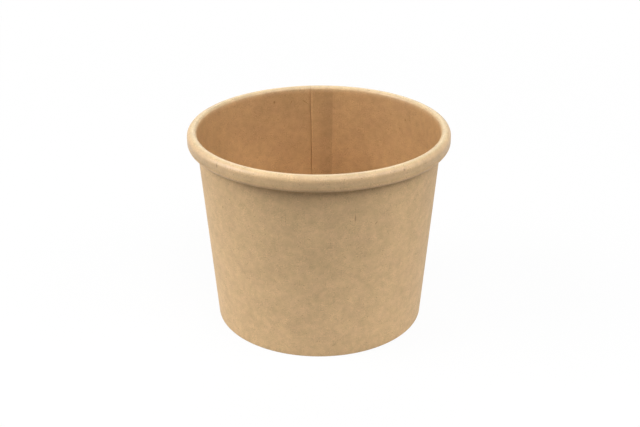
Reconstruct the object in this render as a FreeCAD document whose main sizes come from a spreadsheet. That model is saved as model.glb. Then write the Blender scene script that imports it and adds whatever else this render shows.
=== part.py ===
# Brown paper soup cup: a conical wall of board with a lapped side seam, a rolled rim and a hem that
# grips a recessed base. Millimetres, +Z up, origin at the centre of the foot's underside.
import FreeCAD, Part
import math
import os

import Sketcher

# Driving sizes. A bend is the inside radius of the innermost layer, where the seam has two.
SIZES = {
    "cup_height": 75.8,
    "rim_diameter": 98.0,
    "foot_diameter": 79.7,
    "board": 0.42,
    "rim_height": 6.1,
    "rim_inner_bend": 0.56,
    "rim_lower_bend": 1.08,
    "rim_tuck_bend": 0.16,
    "rim_tuck": 2.4,
    "rim_gap": 0.13,
    "rim_ledge": 0.06,
    "seam_bearing": 94.2,
    "seam_lap": 8.9,
    "seam_blend": 11.0,
    "hem_gap": 0.8,
    "base_recess": 5.8,
    "base_board": 0.42,
    "skirt_gap": 0.06,
    "skirt_end_gap": 0.2,
}

# What follows from the driving sizes, each from those above it. The corners are the radii of the
# rim's bends on the face that shows.
WORKED = {
    "inner_corner": "Sizes.rim_inner_bend + 2 * Sizes.board",
    "lower_corner": "Sizes.rim_lower_bend + 2 * Sizes.board",
    "tuck_corner": "Sizes.rim_tuck_bend + 2 * Sizes.board",
    "rim_radius": "Sizes.rim_diameter / 2",
    "foot_radius": "Sizes.foot_diameter / 2",
    "rim_bottom": "Sizes.cup_height - Sizes.rim_height",
    "lower_x": "Worked.rim_radius - Worked.lower_corner",
    "lower_z": "Worked.rim_bottom + Worked.lower_corner",
    "tuck_z": "Worked.rim_bottom + Worked.tuck_corner",
    "tuck_end": "Worked.rim_bottom + Sizes.rim_tuck",
    "neck_radius": "Worked.lower_x - Worked.tuck_corner - Sizes.board - Sizes.rim_gap",
    "lean": "atan((Worked.neck_radius - Worked.foot_radius) / Worked.tuck_z)",
    "inner_z": "Sizes.cup_height - Worked.inner_corner",
    "inner_x": "Worked.foot_radius + Worked.inner_z * tan(Worked.lean)"
               " + (Worked.inner_corner - Sizes.board) / cos(Worked.lean)",
    "upper_corner": "Worked.rim_radius - Worked.inner_x",
    "upper_z": "Sizes.cup_height - Worked.upper_corner",
    "foot_x": "Worked.foot_radius + Sizes.board * tan(Worked.lean) - Sizes.board / cos(Worked.lean)",
    "hem_x": "Worked.foot_x - (Sizes.base_board + 2 * Sizes.skirt_gap) / cos(Worked.lean)",
    "hem_end": "Sizes.base_recess - Sizes.hem_gap",
    "disc_top": "Sizes.base_recess + Sizes.base_board",
    "disc_x": "Worked.foot_radius + Sizes.base_recess * tan(Worked.lean)"
              " - (Sizes.board + Sizes.skirt_gap + Sizes.base_board) / cos(Worked.lean)",
    "skirt_end": "Sizes.board + Sizes.skirt_end_gap",
    "seam_angle": "Sizes.seam_bearing * 1 deg",
    "lap_angle": "Sizes.seam_lap / Worked.neck_radius * 1 rad",
    "blend_angle": "Sizes.seam_blend / Worked.neck_radius * 1 rad",
}
ANGLES = ("lean", "seam_angle", "lap_angle", "blend_angle")

BLEND_STEPS = 4  # spans of the loft that lets the wall back in beside the seam
START, END, CENTRE = range(1, 4)  # Sketcher's numbers for a curve's points
LEVEL_AXIS, UPRIGHT_AXIS = range(-1, -3, -1)  # and for a sketch's own axes
ORIGIN = (LEVEL_AXIS, START)  # what a constraint takes for a sketch's own origin
LEFT, RIGHT = 1, -1  # which way a bend turns
OUT = FreeCAD.Vector(1, 0, 0)
DOWN = FreeCAD.Vector(0, -1, 0)

doc = FreeCAD.newDocument("SoupCup")


def make_sheet():
    """The driving sizes, one named cell each."""
    sheet = doc.addObject("Spreadsheet::Sheet", "Sizes")
    for row, (alias, value) in enumerate(SIZES.items(), start=1):
        sheet.set(f"A{row}", alias)
        sheet.set(f"B{row}", str(value))
        sheet.setAlias(f"B{row}", alias)
    doc.recompute()


def make_worked():
    """The sizes that follow, as bound properties of one object."""
    worked = doc.addObject("App::VarSet", "Worked")
    for name, formula in WORKED.items():
        kind = "App::PropertyAngle" if name in ANGLES else "App::PropertyFloat"
        worked.addProperty(kind, name)
        worked.setExpression(name, formula)
        doc.recompute()
    return worked


make_sheet()
worked = make_worked()


def number(formula):
    """What a formula comes to now, in millimetres or degrees."""
    value = worked.evalExpression(formula)
    return float(getattr(value, "Value", value))


def at(x, z):
    """A sketch point given by two formulas."""
    return FreeCAD.Vector(number(x), number(z), 0)


def along_wall():
    """A unit step up the leaning wall."""
    lean = math.radians(number("Worked.lean"))
    return FreeCAD.Vector(math.sin(lean), math.cos(lean), 0)


def spun(step, angle):
    """A step turned to the left by an angle in radians."""
    return FreeCAD.Rotation(FreeCAD.Vector(0, 0, 1), math.degrees(angle)).multVec(step)


class Outline:
    """A chain of straight runs and bends in a sketch, each bend bound to the sizes."""

    def __init__(self, sketch, name, start, way):
        self.sketch = sketch
        self.name = name
        self.start = start
        self.here = start
        self.way = way
        self.runs = []
        self.last = None
        self.meeting = "Coincident"

    def constrain(self, kind, *where):
        """Adds one constraint without a size."""
        self.sketch.addConstraint(Sketcher.Constraint(kind, *where))

    def bind(self, name, formula, kind, *where):
        """Adds one constraint and ties its size to a formula."""
        index = self.sketch.addConstraint(Sketcher.Constraint(kind, *where, number(formula)))
        label = f"{self.name}_{name}"
        self.sketch.renameConstraint(index, label)
        self.sketch.setExpression(f"Constraints.{label}", formula)

    def run(self, end):
        """A straight run from where the chain has come to."""
        edge = self.sketch.addGeometry(Part.LineSegment(self.here, end))
        if self.last:
            self.constrain(self.meeting, *self.last, edge, START)
        self.runs.append(edge)
        self.last = (edge, END)
        self.here = end

    def crease(self, name, x, z, way):
        """A straight run to the point (x, z), where the chain turns sharply into a new way."""
        self.run(at(x, z))
        self.bind(f"{name}_x", x, "DistanceX", *ORIGIN, *self.last)
        self.bind(f"{name}_z", z, "DistanceY", *ORIGIN, *self.last)
        self.way = way
        self.meeting = "Coincident"

    def bend(self, name, x, z, radius, turn, way, chords, straight_on=False):
        """A bend about (x, z) into a new way, after a straight run.

        The bend itself is a construction arc, and the board follows it in a few equal chords. One
        that goes straight on from the last bend has no run before it, and meets it smoothly, which
        sets its radius.
        """
        centre = at(x, z)
        aside = FreeCAD.Vector(self.way.y, -self.way.x, 0) * turn * number(radius)
        step = turn * self.way.getAngle(way) / chords
        points = [centre + spun(aside, step * index) for index in range(chords + 1)]
        middle = centre + spun(aside, step * chords / 2)
        arc = self.sketch.addGeometry(Part.Arc(points[0], middle, points[-1]), True)
        enters, leaves = (START, END) if turn == LEFT else (END, START)
        if not straight_on:
            self.run(points[0])
            self.bind(f"{name}_radius", radius, "Radius", arc)
        self.constrain("Tangent", *self.last, arc, enters)
        self.bind(f"{name}_x", x, "DistanceX", *ORIGIN, arc, CENTRE)
        self.bind(f"{name}_z", z, "DistanceY", *ORIGIN, arc, CENTRE)
        self.follow(arc, points)
        self.constrain("Coincident", *self.last, arc, leaves)
        self.last = (arc, leaves)
        self.here = points[-1]
        self.way = way
        self.meeting = "Tangent"

    def follow(self, arc, points):
        """Equal chords along an arc, from where the chain has come to."""
        first = None
        for start, end in zip(points, points[1:]):
            chord = self.sketch.addGeometry(Part.LineSegment(start, end))
            self.constrain("Coincident", *self.last, chord, START)
            if first is None:
                first = chord
            else:
                self.constrain("PointOnObject", chord, START, arc)
                self.constrain("Equal", first, chord)
            self.last = (chord, END)


def cap(sketch, start, first, end, last):
    """A straight cut from one face's free end to the other's."""
    edge = sketch.addGeometry(Part.LineSegment(start, end))
    sketch.addConstraint(Sketcher.Constraint("Coincident", *first, edge, START))
    sketch.addConstraint(Sketcher.Constraint("Coincident", *last, edge, END))
    return edge


def new_sketch(body, name, bearing):
    """An upright sketch through the cup's axis, turned about it to a bearing."""
    sketch = body.newObject("Sketcher::SketchObject", name)
    plane = next(item for item in body.Origin.OriginFeatures if item.Role == "XZ_Plane")
    sketch.AttachmentSupport = [(plane, "")]
    sketch.MapMode = "FlatFace"
    about_axis = FreeCAD.Rotation(FreeCAD.Vector(0, 1, 0), number(bearing))
    sketch.AttachmentOffset = FreeCAD.Placement(FreeCAD.Vector(), about_axis)
    sketch.setExpression("AttachmentOffset.Rotation.Angle", bearing)
    return sketch


def revolve(body, sketch, name, angle):
    """Turns a section about the cup's axis."""
    feature = body.newObject("PartDesign::Revolution", name)
    feature.Profile = sketch
    feature.ReferenceAxis = (sketch, ["V_Axis"])
    feature.setExpression("Angle", angle)


def roll_rim(face, lift, depth, crown_chords):
    """Takes a face from the wall's top round the rim and up inside it, to the board's free edge.

    The face lies a lift outside the wall's inner face and a depth inside the roll's outer face.
    Where they differ, the rim's first two bends move out.
    """
    up = along_wall()
    shift = f"(({lift}) - ({depth})) / cos(Worked.lean)"
    inner_x = f"Worked.inner_x + {shift}"
    inner = f"Worked.inner_corner - ({depth})"
    face.bend("inner", inner_x, "Worked.inner_z", inner, RIGHT, OUT, chords=2)
    upper = f"Worked.upper_corner - ({depth}) - {shift}"
    face.bend("upper", inner_x, f"Worked.upper_z + {shift}", upper, RIGHT, DOWN, crown_chords,
              straight_on=True)
    lower = f"Worked.lower_corner - ({depth})"
    face.bend("lower", "Worked.lower_x", "Worked.lower_z", lower, RIGHT, -OUT, chords=2)
    tuck = f"Worked.tuck_corner - ({depth})"
    face.bend("tuck", "Worked.lower_x", "Worked.tuck_z", tuck, RIGHT, up, chords=1,
              straight_on=True)
    face.run(face.here + up * (number("Worked.tuck_end") - face.here.y) / up.y)
    wall = face.runs[2]
    for run in (face.runs[0], face.runs[-1]):
        face.constrain("Parallel", run, wall)


def food_face(sketch, lift, depth):
    """The face that meets the soup and the base: creased at the foot, outermost round the rim."""
    up = along_wall()
    hem_top = "Worked.hem_x + (Worked.hem_end - Sizes.board) * tan(Worked.lean)"
    face = Outline(sketch, "food", at(hem_top, "Worked.hem_end"), -up)
    face.crease("hem", "Worked.hem_x", "Sizes.board", OUT)
    face.crease("foot", f"Worked.foot_x + {lift} / cos(Worked.lean)", "Sizes.board", up)
    roll_rim(face, lift, depth, crown_chords=3)
    face.bind("hem_end", "Worked.hem_end", "DistanceY", *ORIGIN, face.runs[0], START)
    face.bind("tuck_end", "Worked.tuck_end", "DistanceY", *ORIGIN, *face.last)
    return face


def back_face(sketch, lift, depth):
    """The layer's other face, one board behind it: rounded at the foot, innermost round the rim."""
    up = along_wall()
    hem_top = (
        "Worked.hem_x - Sizes.board / cos(Worked.lean)"
        " + (Worked.hem_end - Sizes.board) * tan(Worked.lean)"
    )
    face = Outline(sketch, "back", at(hem_top, "Worked.hem_end"), -up)
    face.bend("hem", "Worked.hem_x", "Sizes.board", "Sizes.board", LEFT, OUT, chords=1)
    foot_x = f"Worked.foot_x + {lift} / cos(Worked.lean)"
    face.bend("foot", foot_x, "Sizes.board", "Sizes.board", LEFT, up, chords=1)
    roll_rim(face, f"{lift} + Sizes.board", f"{depth} + Sizes.board", crown_chords=2)
    return face


def board_section(body, name, bearing, food=("0", "0"), back=("0", "0")):
    """The side's closed section, from the hem's free edge to the rim's.

    Each face comes with its layer's lift and depth: how far that layer stands out in the wall and
    lies in on the roll, next to a single one. The hem and the underside stay.
    """
    sketch = new_sketch(body, name, bearing)
    food = food_face(sketch, *food)
    back = back_face(sketch, *back)
    hem_cut = cap(sketch, food.start, (food.runs[0], START), back.start, (back.runs[0], START))
    tuck_cut = cap(sketch, food.here, food.last, back.here, back.last)
    food.constrain("Perpendicular", food.runs[0], hem_cut)
    food.constrain("Perpendicular", food.runs[-1], tuck_cut)
    return sketch


def make_sidewall():
    """One blank: a single layer most of the way, two at the lap, and one that comes back in."""
    body = doc.addObject("PartDesign::Body", "sidewall")
    body.Label = "sidewall"
    seam = "Worked.seam_angle"
    single = board_section(body, "single_section", f"{seam} + Worked.blend_angle")
    revolve(body, single, "single_layer", "360 deg - Worked.lap_angle - Worked.blend_angle")
    lapped = board_section(body, "lap_section", f"{seam} - Worked.lap_angle",
                           back=("Sizes.board", "Sizes.board"))
    revolve(body, lapped, "lap", "Worked.lap_angle")
    sections = []
    for step in range(BLEND_STEPS + 1):
        share = step / BLEND_STEPS
        left = f"{(1 + math.cos(math.pi * share)) / 2:.6f}"
        layer = (f"{left} * Sizes.board", f"{left} * Sizes.rim_ledge")
        bearing = f"{seam} + {share} * Worked.blend_angle"
        sections.append(board_section(body, f"blend_section_{step}", bearing, layer, layer))
    blend = body.newObject("PartDesign::AdditiveLoft", "blend")
    blend.Profile = sections[0]
    blend.Sections = sections[1:]
    blend.Ruled = True
    return body


def make_base_disc():
    """The bottom: a flat disc whose edge turns down into a skirt between the wall and the hem."""
    body = doc.addObject("PartDesign::Body", "base_disc")
    body.Label = "base_disc"
    down = -along_wall()
    sketch = new_sketch(body, "base_section", "0 deg")
    top = Outline(sketch, "top", at("0", "Worked.disc_top"), OUT)
    top.bend("edge", "Worked.disc_x", "Sizes.base_recess", "Sizes.base_board", RIGHT, down, chords=1)
    under = Outline(sketch, "under", at("0", "Sizes.base_recess"), OUT)
    under.crease("edge", "Worked.disc_x", "Sizes.base_recess", down)
    for face in (top, under):
        face.run(face.here + down * (number("Worked.skirt_end") - face.here.y) / down.y)
        face.constrain("Horizontal", face.runs[0])
        face.constrain("PointOnObject", face.runs[0], START, UPRIGHT_AXIS)
    cap(sketch, top.start, (top.runs[0], START), under.start, (under.runs[0], START))
    end_cut = cap(sketch, top.here, top.last, under.here, under.last)
    top.constrain("Perpendicular", top.runs[-1], end_cut)
    top.constrain("Parallel", top.runs[-1], under.runs[-1])
    top.bind("lean", "-90 deg - Worked.lean", "Angle", top.runs[-1])
    top.bind("skirt_end", "Worked.skirt_end", "DistanceY", *ORIGIN, *top.last)
    revolve(body, sketch, "disc", "360 deg")
    return body


def check(nodes):
    """Stops if any object failed or any piece is not one sound solid."""
    for item in doc.Objects:
        if {"Invalid", "Error"} & set(item.State):
            raise RuntimeError(f"{item.Name} failed: {item.State}")
    for node in nodes:
        shape = node.Shape
        if shape.isNull() or not shape.isValid() or len(shape.Solids) != 1:
            raise RuntimeError(f"{node.Label} is not one valid solid")


def export(nodes):
    """Writes each piece to a file of its own name."""
    os.makedirs("parts", exist_ok=True)
    for node in nodes:
        node.Shape.exportStep(f"parts/{node.Label}.step")


nodes = [make_sidewall(), make_base_disc()]
doc.recompute()
check(nodes)
export(nodes)
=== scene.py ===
# Looks of the brown paper soup cup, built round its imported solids. Metres, +Z up, in the solids' frame.
import math

import bpy
from mathutils import Matrix, Vector


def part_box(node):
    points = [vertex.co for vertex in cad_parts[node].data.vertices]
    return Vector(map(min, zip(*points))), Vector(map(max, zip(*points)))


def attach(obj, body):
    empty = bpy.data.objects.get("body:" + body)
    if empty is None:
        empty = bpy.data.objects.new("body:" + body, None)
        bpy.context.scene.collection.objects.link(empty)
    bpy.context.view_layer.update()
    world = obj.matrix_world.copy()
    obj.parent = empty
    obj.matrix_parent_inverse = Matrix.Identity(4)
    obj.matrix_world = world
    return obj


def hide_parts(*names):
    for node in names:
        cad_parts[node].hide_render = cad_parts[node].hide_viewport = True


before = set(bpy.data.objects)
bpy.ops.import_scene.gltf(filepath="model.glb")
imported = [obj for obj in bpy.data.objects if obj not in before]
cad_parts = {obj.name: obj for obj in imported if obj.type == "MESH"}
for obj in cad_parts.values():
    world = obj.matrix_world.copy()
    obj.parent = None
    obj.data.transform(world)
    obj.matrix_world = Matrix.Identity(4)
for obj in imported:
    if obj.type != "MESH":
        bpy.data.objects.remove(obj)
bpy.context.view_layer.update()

MM = 0.001

# Sizes that the solids' own boxes give
_, WALL_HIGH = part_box("sidewall")
_, BASE_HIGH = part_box("base_disc")
CUP_HEIGHT = WALL_HIGH.z
RIM_RADIUS = WALL_HIGH.x
BASE_TOP = BASE_HIGH.z

# Sizes of the section, as the solids have them
FOOT_RADIUS = 39.85 * MM
BOARD = 0.42 * MM
RIM_HEIGHT = 6.1 * MM
INNER_CORNER = 1.40 * MM
LOWER_CORNER = 1.92 * MM
TUCK_CORNER = 1.00 * MM
RIM_TUCK = 2.4 * MM
RIM_GAP = 0.13 * MM
RIM_LEDGE = 0.06 * MM
HEM_GAP = 0.8 * MM
SKIRT_GAP = 0.06 * MM
SKIRT_END = 0.62 * MM
SEAM_BEARING = math.radians(94.2)
SEAM_LAP = 8.9 * MM
SEAM_BLEND = 11.0 * MM

# What follows from them
RIM_BOTTOM = CUP_HEIGHT - RIM_HEIGHT
LOWER_X = RIM_RADIUS - LOWER_CORNER
LOWER_Z = RIM_BOTTOM + LOWER_CORNER
TUCK_Z = RIM_BOTTOM + TUCK_CORNER
NECK_RADIUS = LOWER_X - TUCK_CORNER - BOARD - RIM_GAP
LEAN = math.atan((NECK_RADIUS - FOOT_RADIUS) / TUCK_Z)
INNER_Z = CUP_HEIGHT - INNER_CORNER
INNER_X = FOOT_RADIUS + INNER_Z * math.tan(LEAN) + (INNER_CORNER - BOARD) / math.cos(LEAN)
UPPER_CORNER = RIM_RADIUS - INNER_X
UPPER_Z = CUP_HEIGHT - UPPER_CORNER
FOOT_X = FOOT_RADIUS + BOARD * math.tan(LEAN) - BOARD / math.cos(LEAN)
HEM_X = FOOT_X - (BOARD + 2 * SKIRT_GAP) / math.cos(LEAN)
HEM_END = BASE_TOP - BOARD - HEM_GAP
LAP_ANGLE = SEAM_LAP / NECK_RADIUS
BLEND_ANGLE = SEAM_BLEND / NECK_RADIUS
BASE_UNDERSIDE = BASE_TOP - BOARD
BASE_X = FOOT_RADIUS + BASE_UNDERSIDE * math.tan(LEAN) - (2 * BOARD + SKIRT_GAP) / math.cos(LEAN)

UP = Vector((math.sin(LEAN), math.cos(LEAN)))
DOWN = -UP
OUT = Vector((1.0, 0.0))
FALL = Vector((0.0, -1.0))

# Camera
CAMERA_REACH = 425.6 * MM
CAMERA_ELEVATION = math.radians(25.03)
CAMERA_ROLL = -0.0033
CAMERA_LENS = 62.0
CAMERA_CLIP = (0.01, 20.0)
SIGHT = Vector((0.3, 0.0, 39.7)) * MM


def link(name, data):
    """A new object in the scene."""
    item = bpy.data.objects.new(name, data)
    bpy.context.scene.collection.objects.link(item)
    return item


def make_camera():
    """The camera, raised above the rim and looking down into the cup."""
    data = bpy.data.cameras.new("camera")
    data.lens = CAMERA_LENS
    data.clip_start, data.clip_end = CAMERA_CLIP
    camera = link("camera", data)
    back = Vector((0, -math.cos(CAMERA_ELEVATION), math.sin(CAMERA_ELEVATION)))
    turn = (-back).to_track_quat("-Z", "Y").to_matrix() @ Matrix.Rotation(CAMERA_ROLL, 3, "Z")
    camera.matrix_world = Matrix.Translation(SIGHT + back * CAMERA_REACH) @ turn.to_4x4()
    bpy.context.scene.camera = camera


def eased(share):
    """From 1 down to 0, level at both ends."""
    return (1 + math.cos(math.pi * share)) / 2


class Path:
    """A chain of straight runs and round bends in the upright plane, kept as points."""

    def __init__(self, start, way):
        self.points = [Vector(start)]
        self.way = way

    def run(self, end, steps=1):
        """A straight run to a point."""
        start = self.points[-1]
        end = Vector(end)
        self.points += [start.lerp(end, step / steps) for step in range(1, steps + 1)]

    def carry_on(self, height, steps=1):
        """A straight run the way the chain goes, up or down to a height."""
        start = self.points[-1]
        self.run(start + self.way * (height - start.y) / self.way.y, steps)

    def crease(self, end, way, steps=1):
        """A straight run to a point where the chain turns sharply."""
        self.run(end, steps)
        self.way = way

    def bend(self, centre, radius, way, turn, steps, rows=1):
        """A bend about a centre, to the left for turn 1 and to the right for -1, after a run."""
        aside = Vector((self.way.y, -self.way.x)) * turn * radius
        total = turn * math.acos(max(-1.0, min(1.0, self.way.dot(way))))
        spokes = [Matrix.Rotation(total * step / steps, 2) @ aside for step in range(steps + 1)]
        self.run(Vector(centre) + spokes[0], rows)
        self.points += [Vector(centre) + spoke for spoke in spokes[1:]]
        self.way = way

    def lengths(self):
        """How far along the chain each point lies."""
        found = [0.0]
        for start, end in zip(self.points, self.points[1:]):
            found.append(found[-1] + (end - start).length)
        return found


# How finely the wall's section is divided
WALL_ROWS = 34
HEM_ROWS = 3
CREASE_STEPS = 4
CREASE_RUN = BOARD / 2  # the part of the hem's underside where the rows are closer
INNER_STEPS = 9
UPPER_STEPS = 12
BAND_ROWS = 3
LOWER_STEPS = 9
TUCK_STEPS = 5


def roll_rim(path, lift, depth):
    """Takes a face from the wall's top round the rim, to the board's free edge.

    The face lies a lift outside the wall's inner face and a depth inside the roll's outer face.
    """
    shift = (lift - depth) / math.cos(LEAN)
    x = INNER_X + shift
    path.bend((x, INNER_Z), INNER_CORNER - depth, OUT, -1, INNER_STEPS, WALL_ROWS)
    path.bend((x, UPPER_Z + shift), UPPER_CORNER - depth - shift, FALL, -1, UPPER_STEPS)
    path.bend((LOWER_X, LOWER_Z), LOWER_CORNER - depth, -OUT, -1, LOWER_STEPS, BAND_ROWS)
    path.bend((LOWER_X, TUCK_Z), TUCK_CORNER - depth, UP, -1, TUCK_STEPS)
    path.carry_on(RIM_BOTTOM + RIM_TUCK)


def food_face(lift, depth):
    """The face that meets the soup and shows round the rim."""
    path = Path((HEM_X + (HEM_END - BOARD) * math.tan(LEAN), HEM_END), DOWN)
    path.crease((HEM_X, BOARD), OUT, HEM_ROWS)
    path.run((HEM_X + CREASE_RUN, BOARD), CREASE_STEPS - 1)
    path.crease((FOOT_X + lift / math.cos(LEAN), BOARD), UP, CREASE_STEPS + 1)
    roll_rim(path, lift, depth)
    return path


def back_face(lift, depth):
    """The outer face, one board behind the food face."""
    top = HEM_X - BOARD / math.cos(LEAN) + (HEM_END - BOARD) * math.tan(LEAN)
    path = Path((top, HEM_END), DOWN)
    path.bend((HEM_X, BOARD), BOARD, OUT, 1, CREASE_STEPS, HEM_ROWS)
    path.bend((FOOT_X + lift / math.cos(LEAN), BOARD), BOARD, UP, 1, CREASE_STEPS)
    roll_rim(path, lift + BOARD, depth + BOARD)
    return path


# Points beside the seam's two cut edges: distance past the edge in millimetres, and how far the
# stepped face stands out, in boards. The cut is the span that ends at 0.
INSIDE_EDGE = (
    (-0.50, 0.00),
    (-0.24, 0.03),
    (-0.10, 0.12),
    (-0.03, 0.30),
    (0.00, 1.16),
    (0.10, 1.16),
    (0.24, 1.00),
)
OUTSIDE_EDGE = (
    (-0.24, 0.00),
    (-0.12, -0.22),
    (-0.02, -0.22),
    (0.00, 0.64),
    (0.07, 0.84),
    (0.16, 0.95),
    (0.30, 1.00),
)

# How finely the wall is divided round the cup
SINGLE_COLUMNS = 400
BLEND_COLUMNS = 20
LAP_COLUMNS = 12


def last_before(edge):
    """The number of an edge's last point short of it, where its cut starts."""
    return sum(past < 0 for past, _ in edge) - 1


# The stations where the two cuts start
OUTSIDE_CUT = last_before(OUTSIDE_EDGE)
INSIDE_CUT = len(OUTSIDE_EDGE) + LAP_COLUMNS - 1 + last_before(INSIDE_EDGE)


def lapped(bearing, food, back):
    """A station in the lap, with how far each face is lifted, in boards.

    The back's layer lies under the other one, also on the roll.
    """
    return (bearing, (food * BOARD, food * RIM_LEDGE), (back * BOARD, back * BOARD))


def free(bearing, lift):
    """A station with one layer, lifted from its place by some boards."""
    layer = (lift * BOARD, lift * RIM_LEDGE)
    return (bearing, layer, layer)


def stations():
    """Bearing, and each face's lift and depth, all the way round from the lap's start."""
    lap_start = SEAM_BEARING - LAP_ANGLE
    found = [lapped(lap_start + past * MM / NECK_RADIUS, 0.0, back) for past, back in OUTSIDE_EDGE]
    for step in range(1, LAP_COLUMNS):
        found.append(lapped(lap_start + LAP_ANGLE * step / LAP_COLUMNS, 0.0, 1.0))
    for past, food in INSIDE_EDGE:
        found.append(lapped(SEAM_BEARING + past * MM / NECK_RADIUS, food, 1.0))
    for step in range(1, BLEND_COLUMNS + 1):
        past = step / BLEND_COLUMNS
        found.append(free(SEAM_BEARING + BLEND_ANGLE * past, eased(past)))
    single = 2 * math.pi - LAP_ANGLE - BLEND_ANGLE
    start = SEAM_BEARING + BLEND_ANGLE
    for step in range(1, SINGLE_COLUMNS):
        found.append(free(start + single * step / SINGLE_COLUMNS, 0.0))
    return found


def ring_point(point, bearing):
    """A section point turned to its bearing."""
    return (point.x * math.cos(bearing), point.x * math.sin(bearing), point.y)


OUTER, FOOD, CUT = range(3)  # the wall's material slots


def wall_slot(station, step, food_count, count):
    """The material slot of the face that starts at a station and at a step round the section."""
    if step in (food_count - 1, count - 1):
        return CUT
    if step < food_count - 1:
        return CUT if station == INSIDE_CUT else FOOD
    return CUT if station == OUTSIDE_CUT else OUTER


def flat_map(food, back, rings):
    """Where the stations and the section's points lie on a flat map, each from 0 to 1.

    The faces of one station give the section for all of them.
    """
    across = [(ring[0] - rings[0][0]) / (2 * math.pi) for ring in rings] + [1.0]
    reach = food.lengths()[-1] + back.lengths()[-1] + BOARD
    up = food.lengths() + [reach - length for length in back.lengths()[::-1]]
    return across, [length / (reach + BOARD) for length in up] + [1.0]


def make_sidewall(materials):
    """The wall with its rim and hem, as one closed mesh."""
    places, along, rings = [], [], stations()
    for bearing, food_layer, back_layer in rings:
        food = food_face(*food_layer)
        back = back_face(*back_layer)
        places += [ring_point(point, bearing) for point in food.points + back.points[::-1]]
        along += food.lengths() + back.lengths()[::-1]
    food_count = len(food.points)
    count = food_count + len(back.points)
    across, up = flat_map(food, back, rings)
    faces, slots, unwrapped = [], [], []
    for station in range(len(rings)):
        here = station * count
        after = (station + 1) % len(rings) * count
        left, right = across[station], across[station + 1]
        for step in range(count):
            on = (step + 1) % count
            low, high = up[step], up[step + 1]
            faces.append((here + step, after + step, after + on, here + on))
            slots.append(wall_slot(station, step, food_count, count))
            unwrapped += [(left, low), (right, low), (right, high), (left, high)]
    make_piece("paper_sidewall", places, faces, along, slots, materials,
               "sidewall", unwrapped)


SHARP_ANGLE = math.radians(38)


def make_piece(name, places, faces, along, slots, materials, node, unwrapped=None):
    """A smooth mesh that stands for one of the solids.

    along says how far along the section each point lies, which the papers use. unwrapped gives each
    face corner its place on a flat map that overlaps nowhere.
    """
    mesh = bpy.data.meshes.new(name)
    mesh.from_pydata(places, [], faces)
    mesh.polygons.foreach_set("material_index", slots)
    if unwrapped:
        layer = mesh.uv_layers.new(name="OFBake")
        layer.data.foreach_set("uv", [value for corner in unwrapped for value in corner])
    mesh.attributes.new("along", "FLOAT", "POINT").data.foreach_set("value", along)
    for material in materials:
        mesh.materials.append(material)
    mesh.shade_smooth()
    mesh.set_sharp_from_angle(angle=SHARP_ANGLE)
    piece = link(name, mesh)
    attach(piece, "root")
    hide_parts(node)


# How finely the base is divided
BASE_COLUMNS = 240
BASE_ROWS = 24
BASE_CORNER_STEPS = 6
SKIRT_ROWS = 3


def make_base(materials):
    """The disc and its turned-down skirt, as one closed mesh."""
    top = Path((0.0, BASE_TOP), OUT)
    top.bend((BASE_X, BASE_UNDERSIDE), BOARD, DOWN, -1, BASE_CORNER_STEPS, BASE_ROWS)
    top.carry_on(SKIRT_END, SKIRT_ROWS)
    under = Path((0.0, BASE_UNDERSIDE), OUT)
    under.crease((BASE_X, BASE_UNDERSIDE), DOWN, BASE_ROWS)
    under.carry_on(SKIRT_END, SKIRT_ROWS)
    section = top.points[1:] + under.points[:0:-1]
    lengths = top.lengths()[1:] + under.lengths()[:0:-1]
    middles = [(0, 0, BASE_TOP), (0, 0, BASE_UNDERSIDE)]
    places, along = list(middles), [0.0] * len(middles)
    for column in range(BASE_COLUMNS):
        bearing = 2 * math.pi * column / BASE_COLUMNS
        places += [ring_point(point, bearing) for point in section]
        along += lengths
    count = len(section)
    faces = []
    for column in range(BASE_COLUMNS):
        here = len(middles) + column * count
        after = len(middles) + (column + 1) % BASE_COLUMNS * count
        faces.append((0, here, after))
        faces.append((1, after + count - 1, here + count - 1))
        for step in range(count - 1):
            faces.append((here + step, here + step + 1, after + step + 1, after + step))
    slots = [0] * len(faces)
    make_piece("paper_base", places, faces, along, slots, materials, "base_disc")


NOISE_DETAIL = 2.0


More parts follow.
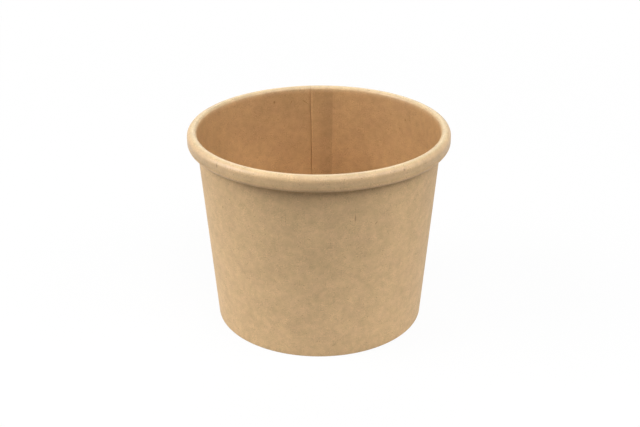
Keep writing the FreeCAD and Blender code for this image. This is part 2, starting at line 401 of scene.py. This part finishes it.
class Recipe:
    """The nodes of one material or of the world, added one by one."""

    def __init__(self, owner):
        owner.use_nodes = True
        self.tree = owner.node_tree
        self.shader = self.tree.nodes.get("Principled BSDF") or self.tree.nodes["Background"]

    def set(self, socket, value):
        """Gives an input a number, a vector, a colour or another node's output."""
        if isinstance(value, bpy.types.NodeSocket):
            self.tree.links.new(value, socket)
        else:
            socket.default_value = value

    def add(self, kind, inputs=None, **settings):
        """A node with its settings and inputs."""
        node = self.tree.nodes.new(kind)
        for name, value in settings.items():
            setattr(node, name, value)
        for key, value in (inputs or {}).items():
            self.set(node.inputs[key], value)
        return node

    def math(self, operation, *values, clamp=False):
        """A sum worked on numbers."""
        inputs = dict(enumerate(values))
        return self.add("ShaderNodeMath", inputs, operation=operation, use_clamp=clamp).outputs[0]

    def vector(self, operation, *values):
        """A sum worked on vectors."""
        node = self.add("ShaderNodeVectorMath", dict(enumerate(values)), operation=operation)
        return node.outputs["Value" if operation == "LENGTH" else "Vector"]

    def ramp(self, value, low, high, start=0.0, end=1.0):
        """A number brought smoothly from one range to another, and kept in it."""
        inputs = {"Value": value, "From Min": low, "From Max": high, "To Min": start, "To Max": end}
        return self.add("ShaderNodeMapRange", inputs, interpolation_type="SMOOTHSTEP").outputs["Result"]

    def turn(self, vector, angle):
        """A vector turned about the vertical."""
        inputs = {"Vector": vector, "Angle": angle}
        return self.add("ShaderNodeVectorRotate", inputs, rotation_type="Z_AXIS").outputs["Vector"]

    def noise(self, where, size, roughness=0.5):
        """Noise of a grain size. It lies about 0.5."""
        scaled = self.vector("MULTIPLY", where, (1 / size, 1 / size, 1 / size))
        inputs = {"Vector": scaled, "Scale": 1.0, "Detail": NOISE_DETAIL, "Roughness": roughness}
        return self.add("ShaderNodeTexNoise", inputs).outputs["Fac"]

    def swing(self, noise):
        """Noise that lies about 0 instead."""
        return self.math("SUBTRACT", noise, 0.5)

    def band(self, value, rise, fall):
        """1 in a band of a value. Its rise and its fall each give where it is 0, then where it is 1."""
        return self.math("MULTIPLY", self.ramp(value, *rise), self.ramp(value, *fall))

    def mix(self, share, first, second, blend="MIX"):
        """Two colours mixed."""
        node = self.add("ShaderNodeMix", data_type="RGBA", blend_type=blend)
        for socket, value in ((node.inputs[0], share), (node.inputs[6], first), (node.inputs[7], second)):
            self.set(socket, value)
        return node.outputs[2]

    def relief(self, height, depth):
        """Raises and sinks the surface by a height from 0 to 1."""
        normal = self.add("ShaderNodeBump", {"Height": height, "Distance": depth}).outputs["Normal"]
        self.set(self.shader.inputs["Normal"], normal)

    def finish(self, **values):
        """Sets the shader's inputs."""
        for name, value in values.items():
            self.set(self.shader.inputs[name.replace("_", " ")], value)

    def seen(self):
        """1 for a ray that shows the surroundings themselves, and 0 for one that lights a surface."""
        path = self.add("ShaderNodeLightPath").outputs
        mirrored = self.math("ADD", path["Is Glossy Ray"], path["Is Transmission Ray"])
        return self.math("ADD", path["Is Camera Ray"], mirrored, clamp=True)


SHEET_SCALE = 1000.0  # the sheet's coordinates are in millimetres
MEAN_RADIUS = 44.0  # and go round the cup at this radius


def sheet_place(recipe):
    """Where a point lies on the flat sheet: round the cup, along the section, and 0."""
    where = recipe.add("ShaderNodeTexCoord").outputs["Object"]
    turned = recipe.turn(where, math.pi - SEAM_BEARING)
    parts = recipe.add("ShaderNodeSeparateXYZ", {"Vector": turned}).outputs
    bearing = recipe.math("ARCTAN2", parts["Y"], parts["X"])
    inputs = {"X": recipe.math("MULTIPLY", bearing, MEAN_RADIUS),
              "Y": recipe.math("MULTIPLY", section_place(recipe), SHEET_SCALE)}
    return recipe.add("ShaderNodeCombineXYZ", inputs).outputs["Vector"]


def flat_place(recipe):
    """Where a point lies on a level sheet."""
    where = recipe.add("ShaderNodeTexCoord").outputs["Object"]
    return recipe.vector("MULTIPLY", where, (SHEET_SCALE, SHEET_SCALE, 0.0))


def section_place(recipe):
    """How far along the section a point lies, in metres."""
    return recipe.add("ShaderNodeAttribute", attribute_name="along").outputs["Fac"]


# Marks in the board, of which there is one in some cells of a grid: the cell's size, a mark's length
# and width, and how far the grid is moved, all in millimetres
FIBRES = (9.0, 1.7, 0.20, 11.0)
SPECKS = (1.6, 0.44, 0.34, 37.0)
PALE_BITS = (1.3, 0.46, 0.28, 53.0)
MARKED_CELLS = 0.30  # the share of cells that have one
FAINTEST_MARK = 0.4  # against the strongest
MARK_EDGE = 0.35  # how soft its edge is, against its half size
STRAY_EDGE = 0.4
WAVE_SCALE = 0.9  # waves for each millimetre, which keep a mark from being straight
WAVE_DETAIL = 1.0
WAVE_REACH = 0.5  # how far apart they lie at most, in millimetres


def oval(recipe, reach, tilt, length, width, edge):
    """1 in an oval about a centre, fading to 0 over its soft edge."""
    shape = recipe.vector("MULTIPLY", recipe.turn(reach, tilt), (2 / width, 2 / length, 0.0))
    return recipe.ramp(recipe.vector("LENGTH", shape), 1.0 + edge, 1.0 - edge)


def marks(recipe, sheet, salt, cell, length, width, shift):
    """Short marks, one in some of the cells, each at its own place and tilt: 1 on the strongest."""
    moved = recipe.vector("ADD", sheet, (shift + salt, -(shift + salt), 0))
    waves = recipe.add("ShaderNodeTexNoise", {"Vector": moved, "Scale": WAVE_SCALE, "Detail": WAVE_DETAIL})
    sway = recipe.vector("SUBTRACT", waves.outputs["Color"], (0.5, 0.5, 0.5))
    sway = recipe.vector("MULTIPLY", sway, (WAVE_REACH, WAVE_REACH, 0.0))
    moved = recipe.vector("ADD", moved, sway)
    cells = recipe.add("ShaderNodeTexVoronoi", {"Vector": moved, "Scale": 1 / cell},
                       voronoi_dimensions="2D")
    picks = recipe.add("ShaderNodeSeparateColor", {"Color": cells.outputs["Color"]}).outputs
    centre = recipe.vector("MULTIPLY", cells.outputs["Position"], (1.0, 1.0, 0.0))
    reach = recipe.vector("SUBTRACT", recipe.vector("MULTIPLY", moved, (1.0, 1.0, 0.0)), centre)
    tilt = recipe.math("MULTIPLY", picks["Red"], math.pi)
    inside = oval(recipe, reach, tilt, length, width, MARK_EDGE)
    there = recipe.math("LESS_THAN", picks["Green"], MARKED_CELLS)
    strength = recipe.math("MULTIPLY_ADD", picks["Blue"], 1.0 - FAINTEST_MARK, FAINTEST_MARK)
    return recipe.math("MULTIPLY", recipe.math("MULTIPLY", inside, there), strength)


def single(recipe, sheet, strays):
    """Single fibres, each at its own place: 1 on a fibre."""
    found = 0.0
    for across, along, length, width, tilt in strays:
        reach = recipe.vector("SUBTRACT", sheet, (across, along, 0.0))
        fibre = oval(recipe, reach, math.radians(tilt), length, width, STRAY_EDGE)
        found = recipe.math("MAXIMUM", fibre, found)
    return found


# The papers: their colour, where each is taken from the endless noise, roughness and specular level
OUTSIDE_BROWN = (0.636, 0.430, 0.226)
INSIDE_BROWN = (0.442, 0.259, 0.116)
CUT_BROWN = (0.50, 0.33, 0.18)
PAPERS = {
    "outside": (OUTSIDE_BROWN, 224.0, 0.6, 0.4),
    "inside": (INSIDE_BROWN, 258.0, 0.42, 0.4),
    "cut": (CUT_BROWN, 180.0, 0.9, 0.2),
    "base": (INSIDE_BROWN, 270.0, 0.42, 0.5),
}

# Their grain: its size in millimetres, and how far it darkens and brightens the board
CLOUD_SIZE, CLOUDS = 10.0, 0.28
MOTTLE_SIZE, MOTTLE = 2.6, 0.40
PULP_SIZE, PULP = 0.5, 0.60
GRAIN_ROUGHNESS = 0.6
GRAIN_DEPTH = 0.05 * MM
# Some patches of the pulp are busier than others: where their noise is taken, its size, the part of
# it that counts, and how much less or more there is for it
BUSY_SHIFT, BUSY_SIZE = (17.0, 5.0, 3.0), 4.0
BUSY_NOISE = (0.35, 0.65)
BUSY_SHARES = (0.4, 1.3)
# Some are a little warmer, with less blue
BLUSH_SHIFT, BLUSH_SIZE = (31.0, 7.0, 0.0), 5.0
BLUSH = 0.06
BLUSH_BLUE = -0.6

# How strongly the marks show, and their colour as shares of the board's
FIBRE_STRENGTH = 0.55
SPECK_STRENGTH = 0.42
PALE_STRENGTH = 0.50
DARK_MARK = (0.42, 0.33, 0.26)
# The pale shares also give the painted light and highlight beside the seam
PALE_MARK_AND_PAINTED_LIGHT = (1.3, 1.3, 1.3)

# Single fibres that the photograph shows, in millimetres on the sheet: across from opposite the seam,
# along the section, length and width, then the tilt in degrees
OUTSIDE_STRAYS = ((9.3, 64.0, 2.4, 0.5, 0), (17.3, 60.7, 1.5, 0.4, 40), (-42.4, 61.6, 0.7, 0.6, 0))
INSIDE_STRAYS = ((-136.0, 74.7, 3.0, 0.3, 53), (-130.3, 74.8, 1.8, 0.3, -25), (-123.2, 75.5, 1.0, 0.8, 0),
                 (96.5, 72.2, 0.8, 0.6, 0), (-38.7, 84.7, 1.4, 0.5, 15), (24.8, 84.2, 0.8, 0.5, 0))


def paint(colour, shares=(1.0, 1.0, 1.0)):
    """A share of each part of a colour, as a socket takes it."""
    return tuple(min(1.0, part * share) for part, share in zip(colour, shares)) + (1.0,)


def grain(recipe, sheet, busy):
    """How much brighter or darker the pulp makes the board, and its relief from 0 to 1."""
    clouds = recipe.noise(sheet, CLOUD_SIZE)
    mottle = recipe.noise(sheet, MOTTLE_SIZE, GRAIN_ROUGHNESS)
    pulp = recipe.noise(sheet, PULP_SIZE, GRAIN_ROUGHNESS)
    tone = recipe.math("MULTIPLY", recipe.swing(pulp), busy)
    tone = recipe.math("MULTIPLY", tone, PULP)
    tone = recipe.math("MULTIPLY_ADD", recipe.swing(mottle), MOTTLE, tone)
    tone = recipe.math("MULTIPLY_ADD", recipe.swing(clouds), CLOUDS, tone)
    height = recipe.math("ADD", recipe.math("MULTIPLY", pulp, 0.5), recipe.math("MULTIPLY", mottle, 0.5))
    return tone, height


def shaded(recipe, base, sheet, tone):
    """A colour with the pulp's tone and its warmer patches."""
    warmth = recipe.noise(recipe.vector("ADD", sheet, BLUSH_SHIFT), BLUSH_SIZE, GRAIN_ROUGHNESS)
    blush = recipe.math("MULTIPLY", recipe.swing(warmth), BLUSH)
    levels = {"Red": recipe.math("ADD", tone, 1.0),
              "Green": recipe.math("ADD", recipe.math("ADD", tone, blush), 1.0),
              "Blue": recipe.math("ADD", recipe.math("MULTIPLY_ADD", blush, BLUSH_BLUE, tone), 1.0)}
    shade = recipe.add("ShaderNodeCombineColor", levels).outputs["Color"]
    return recipe.mix(1.0, base, shade, "MULTIPLY")


def paper(face, place=sheet_place, strays=(), tint=None):
    """Brown board: clouded pulp with dark and pale marks and a few stray fibres.

    tint may change the plain colour from place to place.
    """
    colour, salt, roughness, specular = PAPERS[face]
    material = bpy.data.materials.new("brown_paper_" + face)
    recipe = Recipe(material)
    bare = place(recipe)
    sheet = recipe.vector("ADD", bare, (0.0, 0.0, salt))
    busy_noise = recipe.noise(recipe.vector("ADD", sheet, BUSY_SHIFT), BUSY_SIZE)
    busy = recipe.ramp(busy_noise, *BUSY_NOISE, *BUSY_SHARES)
    tone, height = grain(recipe, sheet, busy)
    plain = tint(recipe, colour) if tint else paint(colour)
    base = shaded(recipe, plain, sheet, tone)
    fibres = recipe.math("MAXIMUM", marks(recipe, sheet, salt, *FIBRES), single(recipe, bare, strays))
    specks = recipe.math("MULTIPLY", marks(recipe, sheet, salt, *SPECKS), busy)
    pale = recipe.math("MULTIPLY", marks(recipe, sheet, salt, *PALE_BITS), busy)
    layers = (
        (pale, PALE_STRENGTH, PALE_MARK_AND_PAINTED_LIGHT),
        (specks, SPECK_STRENGTH, DARK_MARK),
        (fibres, FIBRE_STRENGTH, DARK_MARK),
    )
    for found, strength, shares in layers:
        base = recipe.mix(recipe.math("MULTIPLY", found, strength), base, paint(colour, shares))
    recipe.relief(height, GRAIN_DEPTH)
    recipe.finish(Base_Color=base, Roughness=roughness, Specular_IOR_Level=specular)
    return material


# How far along the food face the roll starts, and the last row above where it turns under
WALL_POINTS = HEM_ROWS + 2 * CREASE_STEPS + WALL_ROWS
BAND_POINTS = WALL_POINTS + INNER_STEPS + UPPER_STEPS + BAND_ROWS
ROLL_START = food_face(0, 0).lengths()[WALL_POINTS]
ROLL_UNDER = food_face(0, 0).lengths()[BAND_POINTS]

# The roll's colours: its own, a yellower painted highlight on its crown and paler painted light from the
# floor on its lower lip, and the stretches of the section where one changes into the next
ROLL_BROWN = (0.552, 0.373, 0.198)
# Painted highlight: the crown's yellower tint stands in for its glossy highlight
CROWN_PAINTED_HIGHLIGHT = (0.525, 0.393, 0.220)
# Painted light: the lower lip is paler, as if lit from the floor below
LIP_PAINTED_LIGHT = (0.740, 0.500, 0.270)
ROLL_CHANGE = (ROLL_START - 1.5 * MM, ROLL_START + 1.0 * MM)
CROWN_HIGHLIGHT_RISE = (ROLL_START + 0.3 * MM, ROLL_START + 1.3 * MM)
CROWN_HIGHLIGHT_FALL = (ROLL_START + 4.0 * MM, ROLL_START + 2.6 * MM)
LIP_LIGHT_CHANGE = (ROLL_UNDER + 0.5 * MM, ROLL_UNDER + 1.3 * MM)

# The film's specular level inside and on the roll, and the share that is left under the roll
FILM_INSIDE = 0.4
FILM_ROLL = 0.52
FILM_FADE = (ROLL_UNDER - 0.2 * MM, ROLL_UNDER + 1.0 * MM)
FILM_UNDER = 0.25

# Painted light: the inside is made paler deep in the cup
DEEP_LIGHT_CHANGE = (ROLL_START - 10.0 * MM, ROLL_START - 42.0 * MM)
DEEP_LIGHT_SHARE = 0.7
DEEP_PAINTED_LIGHT = (1.25, 1.25, 1.25)

# Round the cup past the seam's edge, in millimetres on the sheet: painted shade that makes the lap a
# little darker, painted light on the paler board after it, and a painted highlight along the lap's cut
# edge. Each band has its rise and its fall, as where it is 0 and where it is 1.
LAP_WIDTH = LAP_ANGLE * MEAN_RADIUS
# Painted shade: the lap is darker
LAP_PAINTED_SHADE = ((1.0, 0.8 * LAP_WIDTH), (LAP_WIDTH + 0.3, LAP_WIDTH))
LAP_PAINTED_SHADE_SHARE = 0.13
# Painted light: the board after the lap is paler
AFTER_LAP_PAINTED_LIGHT = ((LAP_WIDTH, LAP_WIDTH + 0.4), (LAP_WIDTH + 14.0, LAP_WIDTH + 4.0))
AFTER_LAP_PAINTED_LIGHT_SHARE = 0.14
# Painted highlight along the lap's cut edge
LAP_EDGE_PAINTED_HIGHLIGHT = ((0.05, 0.2), (0.7, 0.45))
LAP_EDGE_PAINTED_HIGHLIGHT_SHARE = 0.6
PAINTED_SHADE_BLACK = (0.0, 0.0, 0.0)


def rolled(recipe, wall, roll):
    """A value that changes from the inside's to the roll's as the board comes up round the rim."""
    return recipe.ramp(section_place(recipe), *ROLL_CHANGE, wall, roll)


def film_gloss(recipe):
    """The specular level of the film on the inside and on the roll."""
    under = recipe.ramp(section_place(recipe), *FILM_FADE, 1.0, FILM_UNDER)
    return recipe.math("MULTIPLY", rolled(recipe, FILM_INSIDE, FILM_ROLL), under)


def seam_painted_shade_and_light(recipe, base, colour):
    """A base colour with painted shade on the seam's lap, painted light on the board after it and a
    painted highlight along the lap's cut edge.
    """
    place = recipe.add("ShaderNodeSeparateXYZ", {"Vector": sheet_place(recipe)}).outputs["X"]
    past = recipe.math("SUBTRACT", MEAN_RADIUS * math.pi, place)
    # Painted shade on the lap, painted light after it and a painted highlight on its cut edge
    layers = (
        (LAP_PAINTED_SHADE, LAP_PAINTED_SHADE_SHARE, paint(PAINTED_SHADE_BLACK)),
        (AFTER_LAP_PAINTED_LIGHT, AFTER_LAP_PAINTED_LIGHT_SHARE, paint(colour, PALE_MARK_AND_PAINTED_LIGHT)),
        (LAP_EDGE_PAINTED_HIGHLIGHT, LAP_EDGE_PAINTED_HIGHLIGHT_SHARE, paint(colour, PALE_MARK_AND_PAINTED_LIGHT)),
    )
    for (rise, fall), share, layer in layers:
        base = recipe.mix(recipe.math("MULTIPLY", recipe.band(past, rise, fall), share), base, layer)
    return base


def roll_colour_and_light(recipe):
    """The roll's colour, with a yellower painted highlight on its top and paler painted light from the
    floor on its lower lip.
    """
    along = section_place(recipe)
    # Painted highlight on the crown, then painted light from the floor on the lower lip
    crown_highlight = recipe.band(along, CROWN_HIGHLIGHT_RISE, CROWN_HIGHLIGHT_FALL)
    roll = recipe.mix(crown_highlight, paint(ROLL_BROWN), paint(CROWN_PAINTED_HIGHLIGHT))
    return recipe.mix(recipe.ramp(along, *LIP_LIGHT_CHANGE), roll, paint(LIP_PAINTED_LIGHT))


def inside_colour_and_light(recipe, colour):
    """The inside's colour, paler low in the cup with painted light, which turns into the roll's as the
    board comes up round the rim.
    """
    # Painted light: paler deep in the cup
    deep_light = recipe.ramp(section_place(recipe), *DEEP_LIGHT_CHANGE, 0.0, DEEP_LIGHT_SHARE)
    base = recipe.mix(deep_light, paint(colour), paint(colour, DEEP_PAINTED_LIGHT))
    return recipe.mix(rolled(recipe, 0.0, 1.0), seam_painted_shade_and_light(recipe, base, colour), roll_colour_and_light(recipe))


def make_materials():
    """The papers of the wall's two faces and of its cut edge, and the paper of the base."""
    outer = paper("outside", strays=OUTSIDE_STRAYS)
    food = paper("inside", strays=INSIDE_STRAYS, tint=inside_colour_and_light)
    recipe = Recipe(food)
    recipe.finish(Specular_IOR_Level=film_gloss(recipe))
    return [outer, food, paper("cut")], [paper("base", place=flat_place)]


WHITE = (1.0, 1.0, 1.0)
FLOOR_SIDE = 3.0
FLOOR_NEAR = (0.07, 0.48)  # how far the pale sheet under the cup reaches, and how pale it is
FLOOR_FAR = (0.20, 0.08)  # and where the darker table round it begins
FLOOR_SEEN = (0.7, 0.7, 0.7)  # the colour that both have to the camera
FLOOR_SHADED = (0.15, 0.06)  # how far it keeps a share of its own shading on the white, and that share
FLOOR_WHITE = 0.5  # where only the white is left


def make_floor():
    """A white floor with a faint shadow."""
    mesh = bpy.data.meshes.new("floor")
    s = FLOOR_SIDE
    mesh.from_pydata([(-s, -s, 0), (s, -s, 0), (s, s, 0), (-s, s, 0)], [], [(0, 1, 2, 3)])
    material = bpy.data.materials.new("floor")
    recipe = Recipe(material)
    seen = recipe.seen()
    away = recipe.vector("LENGTH", recipe.add("ShaderNodeTexCoord").outputs["Object"])
    ranges = [value for pair in zip(FLOOR_NEAR, FLOOR_FAR) for value in pair]
    colour = recipe.mix(seen, recipe.ramp(away, *ranges), paint(FLOOR_SEEN))
    recipe.finish(Base_Color=colour, Roughness=1.0, Specular_IOR_Level=0.0)
    white = recipe.add("ShaderNodeEmission", {"Color": paint(WHITE), "Strength": 1.0})
    reach, shading = FLOOR_SHADED
    white_share = recipe.ramp(away, reach, FLOOR_WHITE, 1.0 - shading, 1.0)
    share = recipe.math("MULTIPLY", seen, white_share)
    both = recipe.add("ShaderNodeMixShader", {0: share, 1: recipe.shader.outputs[0], 2: white.outputs[0]})
    recipe.set(recipe.tree.nodes["Material Output"].inputs["Surface"], both.outputs[0])
    mesh.materials.append(material)
    link("floor", mesh)


AMBIENT = 0.02


def make_world():
    """White surroundings that hardly light the cup."""
    world = bpy.data.worlds.new("studio")
    bpy.context.scene.world = world
    recipe = Recipe(world)
    strength = recipe.math("MAXIMUM", recipe.seen(), AMBIENT)
    recipe.finish(Color=paint(WHITE), Strength=strength)


# Softboxes: azimuth from the camera's side towards +X, elevation, both in degrees, and watts
LAMPS = {
    "left": (-79, 37, 10.9),
    "front": (22, 50, 6.6),
    "top": (0, 75, 4.0),
    "right": (70, 37, 6.2),
    "left_low": (-95, 18, 3.1),
    "right_low": (95, 18, 1.6),
    "back": (180, 45, 4.5),
}
LAMP_REACH = 1.2
LAMP_SIDE = 0.7
LAMP_AIM = Vector((0.0, 0.0, 0.04))


def make_lamp(name, azimuth, elevation, watts):
    """A wide soft lamp that shines at the cup."""
    data = bpy.data.lights.new(name, "AREA")
    data.shape = "SQUARE"
    data.size = LAMP_SIDE
    data.energy = watts
    round_cup, up = math.radians(azimuth), math.radians(elevation)
    away = Vector((math.sin(round_cup) * math.cos(up), -math.cos(round_cup) * math.cos(up), math.sin(up)))
    turn = (-away).to_track_quat("-Z", "Y").to_matrix().to_4x4()
    link(name, data).matrix_world = Matrix.Translation(LAMP_AIM + away * LAMP_REACH) @ turn


make_camera()
wall_papers, base_papers = make_materials()
make_sidewall(wall_papers)
make_base(base_papers)
make_floor()
make_world()
for name, settings in LAMPS.items():
    make_lamp(name, *settings)
bpy.context.scene.view_settings.view_transform = "Standard"
